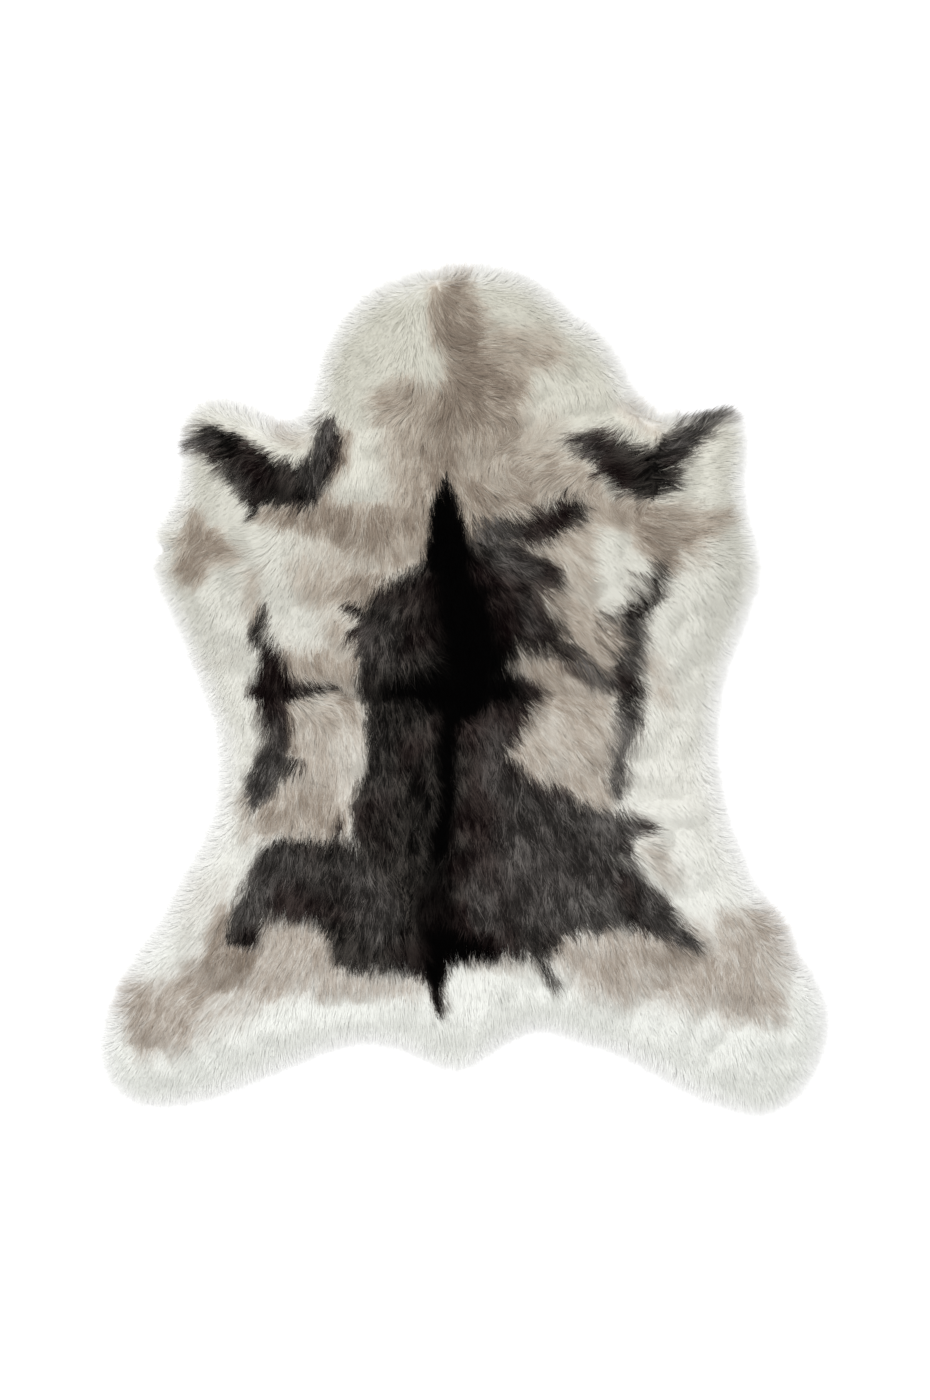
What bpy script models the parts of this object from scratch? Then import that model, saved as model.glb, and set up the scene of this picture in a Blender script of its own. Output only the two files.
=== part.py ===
"""A reindeer hide with its winter coat on, lying flat on its skin with the hair up.

The hide is one closed body. Its underside is level. Its pile is a lumpy slab that rolls down
to a low rim, and from the rim leave locks of hair that rest on the floor. It lies in the XY
plane with the neck towards +Y, and the origin is the middle of its outline."""

import math
import random
from collections import namedtuple

import bmesh
import bpy
import numpy as np
from mathutils import Vector, noise
from mathutils.geometry import delaunay_2d_cdt

MM = 0.001

# The pile.
CROWN_HIGH = 34 * MM  # height of the coat away from the rim
RIM_HIGH = 12.5 * MM  # height of the coat where the locks leave it
RIM_UNEVEN = 4 * MM  # how far that height goes up and down along the rim
ROLL_WIDE = 44 * MM  # how far in from the rim the coat takes to reach its full height
CLUMP_WIDE = 64 * MM  # size of the lumps where the coat bunches
CLUMP_HIGH = 7 * MM
TUFT_WIDE = 26 * MM  # size of the finer lumps on them
TUFT_HIGH = 6.5 * MM

# The locks round the rim.
LOCKS = 264
OVERHANG = 12.5 * MM  # how far in from the outline the rim runs
LOCK_SHORT = 8 * MM
LOCK_LONG = 25 * MM
LOCK_SHARE = 0.72  # how much of the rim is lock, the rest being the gaps
THINNEST = 0.72  # a lock's width at the root goes from this much to this much of the usual
FULLEST = 1.16
TIP_WIDE = 2.6 * MM
TIP_HIGH = 2.4 * MM
LOCK_BEND = 0.45  # how far along a lock its back turns down
WIDTH_HELD = 0.35  # powers by which a lock keeps its width and height: the lower, the fuller
HEIGHT_HELD = 0.5
LOCK_SWAY = math.radians(24)  # how far a lock leans to one side at random
TAIL_DRAG = 0.45  # how much the hair of the flanks lies back towards the tail
LOCK_CLEAR = 1.0 * MM  # least space between two locks
LOCK_CUT = 0.93  # a lock that meets another is made this much of its length, time after time

# The mesh of the pile.
LATTICE = 20.5 * MM
RING_STEPS = 1200  # points by which a ring is followed while it is drawn in
SHARP = math.radians(50)
ROLL_RINGS = ((0.20, 0.5), (0.62, 0.34))  # how far up the roll, and points for each of the rim's

SEED = 4

# The outline of the coat as it lies, clockwise from the crown of the neck, in mm from the
# middle: across is towards the right side, along is towards the neck.
Mark = namedtuple("Mark", "place across along")
OUTLINE = (
    Mark("neck crown", 5, 529),
    Mark("neck crown, right", 59, 523),
    Mark("neck corner, right", 104, 498),
    Mark("neck tuft, right", 138, 466),
    Mark("neck side, right", 166, 448),
    Mark("neck root, right", 199, 400),
    Mark("foreleg armpit, right", 226, 358),
    Mark("foreleg front, right", 270, 346),
    Mark("foreleg tip, right", 330, 356),
    Mark("foreleg corner, right", 346, 332),
    Mark("foreleg side, right", 346, 235),
    Mark("foreleg back, right", 361, 184),
    Mark("shoulder, right", 367, 150),
    Mark("shoulder back, right", 353, 96),
    Mark("ribs, right", 327, 28),
    Mark("waist front, right", 317, -20),
    Mark("waist, right", 315, -70),
    Mark("waist back, right", 325, -148),
    Mark("haunch, right", 345, -206),
    Mark("hock front, right", 371, -258),
    Mark("hock, right", 396, -284),
    Mark("shank, right", 414, -328),
    Mark("hind foot, right", 442, -370),
    Mark("hind foot side, right", 452, -418),
    Mark("hind foot heel, right", 440, -464),
    Mark("hind foot end, right", 412, -507),
    Mark("hind foot back, right", 376, -527),
    Mark("hind leg back, right", 318, -517),
    Mark("hind leg step, right", 254, -487),
    Mark("buttock, right", 198, -455),
    Mark("buttock hollow, right", 140, -436),
    Mark("rump, right", 94, -422),
    Mark("tail root, right", 48, -440),
    Mark("tail", -10, -473),
    Mark("tail root, left", -72, -448),
    Mark("rump, left", -122, -437),
    Mark("buttock, left", -190, -456),
    Mark("hind leg back, left", -262, -487),
    Mark("hind foot back, left", -342, -514),
    Mark("hind foot end, left", -400, -515),
    Mark("hind foot heel, left", -438, -490),
    Mark("hind foot side, left", -452, -450),
    Mark("hind foot, left", -443, -405),
    Mark("shank, left", -417, -345),
    Mark("hock, left", -378, -288),
    Mark("haunch, left", -341, -216),
    Mark("waist back, left", -312, -160),
    Mark("waist, left", -304, -108),
    Mark("waist front, left", -310, -44),
    Mark("ribs, left", -334, 24),
    Mark("shoulder back, left", -357, 82),
    Mark("shoulder, left", -380, 136),
    Mark("shoulder front, left", -384, 188),
    Mark("foreleg back, left", -362, 234),
    Mark("foreleg side, left", -350, 276),
    Mark("foreleg corner, left", -348, 332),
    Mark("foreleg tip, left", -328, 360),
    Mark("foreleg front, left", -278, 358),
    Mark("foreleg armpit, left", -214, 334),
    Mark("neck root, left", -190, 366),
    Mark("neck side, left", -172, 424),
    Mark("neck corner, left", -132, 485),
    Mark("neck crown, left", -72, 519),
)

# Soft troughs pressed into the coat where the hide has been folded or its hair parts, from
# one end to the other, in mm.
Trough = namedtuple("Trough", "place across along to_across to_along wide deep")
TROUGHS = (
    Trough("middle fold, left", -262, 4, -96, 0, 16, 6),
    Trough("middle fold, centre", -96, 0, 96, -4, 22, 4),
    Trough("middle fold, right", 96, 0, 236, 8, 16, 6),
    Trough("fold edge, left", -326, 36, -272, 24, 12, 4),
    Trough("fold edge, right", 300, -4, 322, -10, 12, 4),
    Trough("back parting", -22, -40, -22, -185, 12, 4),
    Trough("neck parting", -24, 505, 0, 392, 14, 3),
    Trough("armpit, left", -210, 330, -182, 262, 24, 6),
    Trough("armpit, right", 226, 352, 196, 284, 24, 6),
    Trough("haunch, left", -330, -196, -246, -232, 24, 4),
    Trough("haunch, right", 340, -204, 262, -246, 24, 4),
)

# Broad rises where the skin thickens or the hair stands fuller, in mm.
Rise = namedtuple("Rise", "place across along radius high")
RISES = (
    Rise("withers", -8, 62, 130, 4),
    Rise("shoulder, left", -210, 120, 90, 3),
    Rise("shoulder, right", 200, 150, 90, 3),
    Rise("rump", -30, -330, 120, 3),
    Rise("hind leg, left", -350, -420, 80, 3),
    Rise("hind leg, right", 350, -420, 80, 3),
)


def clear_scene():
    for item in list(bpy.data.objects):
        bpy.data.objects.remove(item, do_unlink=True)


def hair_material():
    material = bpy.data.materials.new("reindeer_hair")
    material.use_nodes = True
    shader = material.node_tree.nodes["Principled BSDF"]
    shader.inputs["Base Color"].default_value = (0.42, 0.38, 0.34, 1)
    shader.inputs["Roughness"].default_value = 0.85
    shader.inputs["Metallic"].default_value = 0.0
    return material


def coat_outline():
    """The coat's outline as points along one smooth closed curve through the marks."""
    curve = bpy.data.curves.new("coat_outline", "CURVE")
    curve.dimensions = "2D"
    curve.fill_mode = "NONE"
    spline = curve.splines.new("BEZIER")
    spline.bezier_points.add(len(OUTLINE) - 1)
    for point, mark in zip(spline.bezier_points, OUTLINE):
        point.co = (mark.across * MM, mark.along * MM, 0)
        point.handle_left_type = "AUTO"
        point.handle_right_type = "AUTO"
    spline.use_cyclic_u = True
    guide = bpy.data.objects.new("coat_outline", curve)
    bpy.context.scene.collection.objects.link(guide)
    graph = bpy.context.evaluated_depsgraph_get()
    line = bpy.data.meshes.new_from_object(guide.evaluated_get(graph))
    points = np.array([vertex.co[:2] for vertex in line.vertices])
    bpy.data.objects.remove(guide)
    bpy.data.curves.remove(curve)
    bpy.data.meshes.remove(line)
    return points


def along_ring(ring, shares):
    """Points of the closed ring at these shares of its length."""
    closed = np.vstack([ring, ring[:1]])
    reach = np.concatenate([[0], np.cumsum(np.linalg.norm(np.diff(closed, axis=0), axis=1))])
    at = np.asarray(shares) * reach[-1]
    return np.stack([np.interp(at, reach, closed[:, axis]) for axis in (0, 1)], 1)


def evenly(ring, count):
    return along_ring(ring, np.arange(count) / count)


def outward(ring):
    """Unit normals of a clockwise ring, pointing out of it."""
    run = np.roll(ring, -1, axis=0) - np.roll(ring, 1, axis=0)
    normal = np.stack([-run[:, 1], run[:, 0]], 1)
    return normal / np.linalg.norm(normal, axis=1, keepdims=True)


def distance_to(points, ring):
    """How far each point is from the closed ring's line."""
    start = ring[None]
    step = np.roll(ring, -1, axis=0)[None] - start
    away = points[:, None] - start
    share = np.clip((away * step).sum(2) / (step * step).sum(2), 0, 1)
    return np.linalg.norm(away - share[..., None] * step, axis=2).min(1)


def inside(points, ring):
    """True for each point that the closed ring goes round."""
    start = ring[None]
    end = np.roll(ring, -1, axis=0)[None]
    x, y = points[:, None, 0], points[:, None, 1]
    spans = (start[..., 1] > y) != (end[..., 1] > y)
    rise = np.where(spans, end[..., 1] - start[..., 1], 1)
    crossing = start[..., 0] + (y - start[..., 1]) / rise * (end[..., 0] - start[..., 0])
    return (spans & (x < crossing)).sum(1) % 2 == 1


def inset(ring, by, count):
    """The ring drawn in by this much, without the loops that tight bends would make."""
    fine = evenly(ring, RING_STEPS)
    moved = fine - outward(fine) * by
    return evenly(moved[distance_to(moved, fine) > 0.97 * by], count)


def bumps(points, wide, layer):
    """Smooth ups and downs of this width over the points, from about -1 to 1."""
    return np.array([noise.noise(Vector((x / wide, y / wide, layer))) for x, y in points])


def pile_height(points, rim):
    """Height of the coat's top over each point."""
    up_the_roll = np.clip(distance_to(points, rim) / ROLL_WIDE, 0, 1)
    fade = np.sqrt(up_the_roll)
    low = RIM_HIGH + RIM_UNEVEN * bumps(points, TUFT_WIDE, 3)
    height = low + (CROWN_HIGH - low) * np.sqrt(1 - (1 - up_the_roll) ** 2)
    for rise in RISES:
        away = np.linalg.norm(points - np.array([rise.across, rise.along]) * MM, axis=1)
        height += up_the_roll * rise.high * MM * np.exp(-((away / (rise.radius * MM)) ** 2))
    for trough in TROUGHS:
        start = np.array([trough.across, trough.along]) * MM
        run = np.array([trough.to_across, trough.to_along]) * MM - start
        share = np.clip((points - start) @ run / (run @ run), 0, 1)
        away = np.linalg.norm(points - start - share[:, None] * run, axis=1)
        height -= up_the_roll * trough.deep * MM * np.exp(-((away / (trough.wide * MM)) ** 2))
    height += fade * CLUMP_HIGH * bumps(points, CLUMP_WIDE, 0)
    height += fade * TUFT_HIGH * bumps(points, TUFT_WIDE, 7)
    return height


def rim_points(outline):
    """The rim, two points to each lock, so that root and gap take turns along it."""
    rim = inset(outline, OVERHANG, RING_STEPS)
    pitch = 1 / LOCKS
    shares = []
    for lock in range(LOCKS):
        width = LOCK_SHARE * pitch * random.uniform(THINNEST, FULLEST)
        start = lock * pitch + (pitch - width) * random.uniform(0.4, 0.6)
        shares += [start, start + width]
    return along_ring(rim, shares)


def lattice_points(rim):
    """Points for the inside of the pile: rings up its roll, then an even lattice."""
    rings = [inset(rim, share * ROLL_WIDE, int(count * len(rim))) for share, count in ROLL_RINGS]
    low, high = rim.min(0), rim.max(0)
    row_step = LATTICE * math.sin(math.radians(60))
    lattice = [
        (low[0] + LATTICE * (column + row % 2 / 2), low[1] + row_step * row)
        for row in range(int((high[1] - low[1]) / row_step) + 1)
        for column in range(int((high[0] - low[0]) / LATTICE) + 1)
    ]
    lattice = np.array(lattice)
    lattice = lattice[inside(lattice, rings[-1])]
    lattice = lattice[distance_to(lattice, rings[-1]) > 0.55 * LATTICE]
    return np.vstack(rings + [lattice])


def pile_top(mesh, rim):
    """Adds the coat's top to the mesh, and returns its rim vertices in order."""
    flat = np.vstack([rim, lattice_points(rim)])
    edges = [(i, (i + 1) % len(rim)) for i in range(len(rim))]
    found = delaunay_2d_cdt([Vector(point) for point in flat], edges, [], 1, 1e-6)
    points, faces, source = np.array(found[0]), found[2], found[3]
    heights = pile_height(points, rim)
    vertices = [mesh.verts.new((*point, high)) for point, high in zip(points, heights)]
    for face in faces:
        mesh.faces.new([vertices[i] for i in face])
    place = {old: new for new, olds in enumerate(source) for old in olds}
    return [vertices[place[i]] for i in range(len(rim))]


def close_underneath(mesh, rim):
    """Walls from the rim down to the floor and a level underside. Returns the walls in order."""
    edges = [mesh.edges.get((a, b)) for a, b in zip(rim, rim[1:] + rim[:1])]
    made = bmesh.ops.extrude_edge_only(mesh, edges=edges)["geom"]
    for vertex in (item for item in made if isinstance(item, bmesh.types.BMVert)):
        vertex.co.z = 0
    made_faces = {item for item in made if isinstance(item, bmesh.types.BMFace)}
    walls = [next(face for face in edge.link_faces if face in made_faces) for edge in edges]
    floor_edges = [
        edge
        for edge in (item for item in made if isinstance(item, bmesh.types.BMEdge))
        if all(vertex.co.z == 0 for vertex in edge.verts)
    ]
    bmesh.ops.contextual_create(mesh, geom=floor_edges)
    return walls


class Lock:
    """A lock of hair: where it leaves the rim, which way it goes and how far."""

    SAMPLES = np.linspace(0, 1, 6)

    def __init__(self, left, right, root_high):
        self.root_high = root_high
        self.root = (left + right) / 2
        self.half_wide = np.linalg.norm(right - left) / 2
        self.side = (right - left) / (2 * self.half_wide)
        normal = np.array([-self.side[1], self.side[0]])
        sway = random.uniform(-LOCK_SWAY, LOCK_SWAY)
        drag = TAIL_DRAG * normal[0] ** 2
        way = normal + np.array([0, -drag])
        way = way / np.linalg.norm(way)
        turned = (way[0] - math.tan(sway) * way[1], way[1] + math.tan(sway) * way[0])
        self.end_way = np.array(turned) / math.hypot(*turned)
        self.start_way = normal
        self.length = random.uniform(LOCK_SHORT, LOCK_LONG)

    def centre(self, share):
        """The middle of the lock at this share of its length, on a curve that starts square."""
        straight = self.start_way * (share - share**2 / 2)
        swept = self.end_way * share**2 / 2
        return self.root + self.length * (straight + swept)

    def half_width(self, share):
        return self.half_wide * (1 - share) ** WIDTH_HELD + TIP_WIDE / 2 * share

    def height(self, share):
        return self.root_high * (1 - share) ** HEIGHT_HELD + TIP_HIGH * share

    def line(self):
        return np.array([self.centre(share) for share in self.SAMPLES])


def shorten_crossing(locks):
    """Shortens the locks that would meet, as in the armpits, until each stands clear."""
    widths = np.array([[lock.half_width(share) for share in Lock.SAMPLES] for lock in locks])
    roots = np.array([lock.root for lock in locks])
    near = np.linalg.norm(roots[:, None] - roots[None], axis=2) < 3 * LOCK_LONG
    pairs = [(i, j) for i, j in zip(*np.nonzero(near)) if i < j]
    crossing = True
    while crossing:
        crossing = False
        lines = [lock.line() for lock in locks]
        for i, j in pairs:
            apart = np.linalg.norm(lines[i][:, None] - lines[j][None], axis=2)
            needed = widths[i][:, None] + widths[j][None] + LOCK_CLEAR
            short = apart < needed
            short[0, 0] = False
            if short.any():
                longer = max(locks[i], locks[j], key=lambda lock: lock.length)
                longer.length *= LOCK_CUT
                crossing = True


def draw_out(mesh, wall, lock):
    """Draws the lock out of its wall in two steps. It rests level on the floor."""
    face = wall
    for share in (LOCK_BEND, 1.0):
        face = bmesh.ops.extrude_discrete_faces(mesh, faces=[face])["faces"][0]
        centre = lock.centre(share)
        middle = face.calc_center_median()
        for vertex in face.verts:
            way = np.array(vertex.co[:2]) - np.array(middle[:2])
            turn = 1 if way @ lock.side > 0 else -1
            spot = centre + turn * lock.half_width(share) * lock.side
            top = lock.height(share) if vertex.co.z > middle.z else 0
            vertex.co = (spot[0], spot[1], top)


def make_hide(collection):
    random.seed(SEED)
    rim = rim_points(coat_outline())
    mesh = bmesh.new()
    top_rim = pile_top(mesh, rim)
    walls = close_underneath(mesh, top_rim)
    locks = [
        Lock(rim[2 * number], rim[2 * number + 1], top_rim[2 * number].co.z)
        for number in range(LOCKS)
    ]
    shorten_crossing(locks)
    for number, lock in enumerate(locks):
        draw_out(mesh, walls[2 * number], lock)
    bmesh.ops.recalc_face_normals(mesh, faces=mesh.faces)
    bmesh.ops.triangulate(mesh, faces=mesh.faces)
    data = bpy.data.meshes.new("hide")
    mesh.to_mesh(data)
    mesh.free()
    data.materials.append(hair_material())
    data.shade_smooth()
    data.set_sharp_from_angle(angle=SHARP)
    collection.objects.link(bpy.data.objects.new("hide", data))


def main():
    clear_scene()
    collection = bpy.data.collections.new("reindeer_hide")
    bpy.context.scene.collection.children.link(collection)
    make_hide(collection)


main()
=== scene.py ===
"""A reindeer hide with its winter coat, laid flat with the hair up."""

import math
from collections import namedtuple

import bmesh
import bpy
import numpy as np
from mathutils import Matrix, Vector, noise
from mathutils.bvhtree import BVHTree
from mathutils.geometry import delaunay_2d_cdt


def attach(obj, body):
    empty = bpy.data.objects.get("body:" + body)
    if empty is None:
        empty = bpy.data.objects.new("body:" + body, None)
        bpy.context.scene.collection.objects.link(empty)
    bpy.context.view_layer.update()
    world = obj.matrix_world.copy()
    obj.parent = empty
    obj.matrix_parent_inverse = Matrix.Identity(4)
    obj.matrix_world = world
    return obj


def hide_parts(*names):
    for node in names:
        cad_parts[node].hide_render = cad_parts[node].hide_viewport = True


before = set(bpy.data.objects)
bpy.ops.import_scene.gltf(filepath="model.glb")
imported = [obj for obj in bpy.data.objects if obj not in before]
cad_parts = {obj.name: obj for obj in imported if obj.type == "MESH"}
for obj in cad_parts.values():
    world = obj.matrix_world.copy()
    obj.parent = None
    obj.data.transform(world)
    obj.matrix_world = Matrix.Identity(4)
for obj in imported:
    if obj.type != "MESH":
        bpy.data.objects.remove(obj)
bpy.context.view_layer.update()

# The camera hangs over the hide and looks straight down on it, neck at the top of the picture.
# The photograph's pixels are 1.25 mm of the hide each, so places are read off it in pixels.
MM = 0.001
PIXEL = 1.25 * MM
PHOTO_WIDE, PHOTO_LONG = 930, 1400
PHOTO_MIDDLE = (464, 689.5)
CAMERA_HIGH = 3.2
SENSOR = 36


def spot(left, top):
    """The place on the hide that shows at this pixel, in metres."""
    return np.array([(left - PHOTO_MIDDLE[0]) * PIXEL, (PHOTO_MIDDLE[1] - top) * PIXEL])


def rows(kind, *values):
    """The rows of a chart."""
    return [kind(*row) for row in values]


camera = bpy.data.objects.new("camera", bpy.data.cameras.new("camera"))
camera.data.sensor_width = SENSOR
camera.data.lens = SENSOR * CAMERA_HIGH / (PHOTO_LONG * PIXEL)
camera.location = (*spot(PHOTO_WIDE / 2, PHOTO_LONG / 2), CAMERA_HIGH)
bpy.context.scene.collection.objects.link(camera)
bpy.context.scene.camera = camera

# The skin is tanned leather 1.6 mm thick, cut round the animal's outline and laid on the
# floor. Its coat hides all of it from above.
SKIN_THICK = 1.6 * MM
OVERHANG = 14 * MM
SUEDE_PALE, SUEDE_DARK = (0.66, 0.58, 0.46, 1), (0.50, 0.42, 0.31, 1)
SUEDE_ROUGH, NAP_HIGH = 0.95, 0.4 * MM

# An outline has this many points. A point that is drawn in is kept where it ends up clear of
# the whole outline, by at least this share of the way that it was moved.
RING_STEPS = 900
CLEAR_OF_LOOPS = 0.97

# The outline of the coat, clockwise from the neck: marks across and along the hide, in
# millimetres from its middle.
Mark = namedtuple("Mark", "place across along")
OUTLINE = rows(
    Mark,
    # The right side, down to the tail.
    ("neck crown, middle", 5, 529),
    ("neck crown", 59, 523),
    ("neck corner", 104, 498),
    ("neck tuft", 138, 466),
    ("neck side", 166, 448),
    ("neck root", 199, 400),
    ("foreleg armpit", 226, 358),
    ("foreleg front", 270, 346),
    ("foreleg tip", 330, 356),
    ("foreleg corner", 346, 332),
    ("foreleg side", 346, 235),
    ("foreleg back", 361, 184),
    ("shoulder", 367, 150),
    ("shoulder back", 353, 96),
    ("ribs", 327, 28),
    ("waist front", 317, -20),
    ("waist", 315, -70),
    ("waist back", 325, -148),
    ("haunch", 345, -206),
    ("hock front", 371, -258),
    ("hock", 396, -284),
    ("shank", 414, -328),
    ("hind foot", 442, -370),
    ("hind foot side", 452, -418),
    ("hind foot heel", 440, -464),
    ("hind foot end", 412, -507),
    ("hind foot back", 376, -527),
    ("hind leg back", 318, -517),
    ("hind leg step", 254, -487),
    ("buttock", 198, -455),
    ("buttock hollow", 140, -436),
    ("rump", 94, -422),
    ("tail root", 48, -440),
    ("tail", -10, -473),
    # The left side, back up to the neck.
    ("tail root", -72, -448),
    ("rump", -122, -437),
    ("buttock", -190, -456),
    ("hind leg back", -262, -487),
    ("hind foot back", -342, -514),
    ("hind foot end", -400, -515),
    ("hind foot heel", -438, -490),
    ("hind foot side", -452, -450),
    ("hind foot", -443, -405),
    ("shank", -417, -345),
    ("hock", -378, -288),
    ("haunch", -341, -216),
    ("waist back", -312, -160),
    ("waist", -304, -108),
    ("waist front", -310, -44),
    ("ribs", -334, 24),
    ("shoulder back", -357, 82),
    ("shoulder", -382, 136),
    ("shoulder front", -387, 190),
    ("foreleg back", -362, 234),
    ("foreleg side", -350, 276),
    ("foreleg corner", -348, 332),
    ("foreleg tip", -328, 360),
    ("foreleg front", -278, 358),
    ("foreleg armpit", -214, 334),
    ("neck root", -190, 366),
    ("neck side", -172, 424),
    ("neck corner", -132, 485),
    ("neck crown", -72, 519),
)


def linked(name, data):
    """A new object of this name in the scene."""
    piece = bpy.data.objects.new(name, data)
    bpy.context.scene.collection.objects.link(piece)
    return piece


def coat_outline():
    """The outline of the coat as points along one smooth closed curve through the marks."""
    curve = bpy.data.curves.new("coat_outline", "CURVE")
    curve.dimensions = "2D"
    curve.fill_mode = "NONE"
    spline = curve.splines.new("BEZIER")
    spline.bezier_points.add(len(OUTLINE) - 1)
    for point, mark in zip(spline.bezier_points, OUTLINE):
        point.co = (mark.across * MM, mark.along * MM, 0)
        point.handle_left_type = point.handle_right_type = "AUTO"
    spline.use_cyclic_u = True
    guide = linked("coat_outline", curve)
    graph = bpy.context.evaluated_depsgraph_get()
    line = bpy.data.meshes.new_from_object(guide.evaluated_get(graph))
    points = np.array([vertex.co[:2] for vertex in line.vertices])
    bpy.data.objects.remove(guide)
    return points


def evenly(ring, count):
    """Points at even steps along the closed ring."""
    closed = np.vstack([ring, ring[:1]])
    reach = np.concatenate([[0], np.cumsum(np.linalg.norm(np.diff(closed, axis=0), axis=1))])
    at = np.arange(count) / count * reach[-1]
    return np.stack([np.interp(at, reach, closed[:, axis]) for axis in (0, 1)], 1)


def outward(ring):
    """Unit normals of a clockwise ring, pointing out of it."""
    run = np.roll(ring, -1, axis=0) - np.roll(ring, 1, axis=0)
    return np.stack([-run[:, 1], run[:, 0]], 1) / np.linalg.norm(run, axis=1)[:, None]


def nearest_on(ring, points):
    """How far each point is from the ring's own points, and which of those is nearest."""
    apart = np.linalg.norm(points[:, None] - ring[None], axis=2)
    return apart.min(1), apart.argmin(1)


def inset(ring, by, count):
    """The ring drawn in by this much, without the loops that tight bends would make."""
    fine = evenly(ring, RING_STEPS)
    moved = fine - outward(fine) * by
    return evenly(moved[nearest_on(fine, moved)[0] > CLEAR_OF_LOOPS * by], count)


coat_edge = evenly(coat_outline(), RING_STEPS)
skin_edge = inset(coat_edge, OVERHANG, RING_STEPS)


class Wire:
    """An output of a node. Arithmetic on it adds Math nodes, or Vector Math for a vector."""

    def __init__(self, socket):
        self.socket = socket

    @classmethod
    def node(cls, tree, kind, settings, sockets, output=0):
        """Any node: its settings, then the values or wires of its sockets."""
        made = tree.nodes.new(kind)
        for name, value in settings.items():
            if name == "stops":
                for _ in value[2:]:
                    made.color_ramp.elements.new(0.5)
                for stop, (place, colour) in zip(made.color_ramp.elements, value):
                    stop.position = place
                    stop.color = colour
            else:
                setattr(made, name, value)
        for name, value in sockets.items():
            socket = made.inputs[name]
            if isinstance(value, Wire):
                tree.links.new(value.socket, socket)
            elif isinstance(value, (int, float)) and socket.type == "VECTOR":
                socket.default_value = (value, value, value)
            else:
                socket.default_value = value
        return cls(made.outputs[output])

    def __add__(self, other):
        return maths("ADD", self, other)

    def __radd__(self, other):
        return maths("ADD", other, self)

    def __sub__(self, other):
        return maths("SUBTRACT", self, other)

    def __rsub__(self, other):
        return maths("SUBTRACT", other, self)

    def __mul__(self, other):
        return maths("MULTIPLY", self, other)

    def __rmul__(self, other):
        return maths("MULTIPLY", other, self)

    def __truediv__(self, other):
        return maths("DIVIDE", self, other)

    def __rtruediv__(self, other):
        return maths("DIVIDE", other, self)


def maths(operation, *values):
    """A Math node of these values, or Vector Math where one of them is a vector or a colour."""
    wires = [value for value in values if isinstance(value, Wire)]
    vector = any(wire.socket.type in ("VECTOR", "RGBA") for wire in wires)
    vector = vector or any(isinstance(value, tuple) for value in values)
    kind = "ShaderNodeVectorMath" if vector else "ShaderNodeMath"
    tree = wires[0].socket.id_data
    return Wire.node(tree, kind, {"operation": operation}, dict(enumerate(values)))


def joined(*values):
    """A vector of up to three numbers."""
    tree = next(value for value in values if isinstance(value, Wire)).socket.id_data
    return Wire.node(tree, "ShaderNodeCombineXYZ", {}, dict(enumerate(values)))


def parts(vector):
    """The three numbers of a vector."""
    tree = vector.socket.id_data
    return [Wire.node(tree, "ShaderNodeSeparateXYZ", {}, {0: vector}, axis) for axis in range(3)]


def new_material(name):
    """A material with nothing in it but a shader, the shader's node and the piece's own places."""
    material = bpy.data.materials.new(name)
    material.use_nodes = True
    tree = material.node_tree
    place = Wire.node(tree, "ShaderNodeTexCoord", {}, {}, "Object")
    return material, tree.nodes["Principled BSDF"], place


def clouds(place, scale, detail, roughness=0.5):
    """A soft noise over these places, from 0 to 1, with so many clouds to the metre."""
    values = {"Vector": place, "Scale": scale, "Detail": detail, "Roughness": roughness}
    return Wire.node(place.socket.id_data, "ShaderNodeTexNoise", {}, values)


def mix(share, first, second):
    """A blend of two colours."""
    settings = {"data_type": "RGBA", "clamp_factor": True}
    values = {0: share, 6: first, 7: second}
    return Wire.node(share.socket.id_data, "ShaderNodeMix", settings, values, 2)


def finished(shader, colour, roughness, normal=None):
    """Gives the shader its colour, its roughness and, where there is one, its relief."""
    tree = colour.socket.id_data
    tree.links.new(colour.socket, shader.inputs["Base Color"])
    if normal:
        tree.links.new(normal.socket, shader.inputs["Normal"])
    shader.inputs["Roughness"].default_value = roughness


def suede():
    """The finish of the tanned side: pale brown with a fine nap."""
    material, shader, place = new_material("suede")
    nap = clouds(place, 420, 4)
    colour = mix(clouds(place, 9, 3) * 0.7 + nap * 0.3, SUEDE_DARK, SUEDE_PALE)
    relief = {"Strength": 0.4, "Distance": NAP_HIGH, "Height": nap}
    bump = Wire.node(material.node_tree, "ShaderNodeBump", {}, relief)
    finished(shader, colour, SUEDE_ROUGH, bump)
    return material


def make_skin():
    """The sheet of leather, from its cut edge."""
    sheet = bmesh.new()
    corners = [sheet.verts.new((*point, SKIN_THICK / 2)) for point in skin_edge]
    sheet.faces.new(list(reversed(corners)))
    sheet.normal_update()
    bmesh.ops.triangulate(sheet, faces=sheet.faces)
    data = bpy.data.meshes.new("skin")
    sheet.to_mesh(data)
    sheet.free()
    data.materials.append(suede())
    piece = linked("skin", data)
    wall = piece.modifiers.new("thickness", "SOLIDIFY")
    wall.thickness = SKIN_THICK
    wall.offset = 0
    return piece


skin = make_skin()
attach(skin, "root")

# The undercoat is the dense down that the long hair grows out of. It follows the bulk of the
# pile, lower than the tips of the hair, and carries what the hair is combed and coloured by.
DOWN_BELOW_TIPS = 9 * MM
DOWN_LEAST_SHARE = 0.3
DOWN_LEAST = 0.5 * MM
DOWN_OFF_SKIN = 0.1 * MM
DOWN_IN = 2 * MM
DOWN_STEP = 5 * MM
DOWN_EDGE_STEPS = 720
DOWN_CLEAR = 0.6 * DOWN_STEP
RIM_WIDE = 45 * MM

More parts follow.
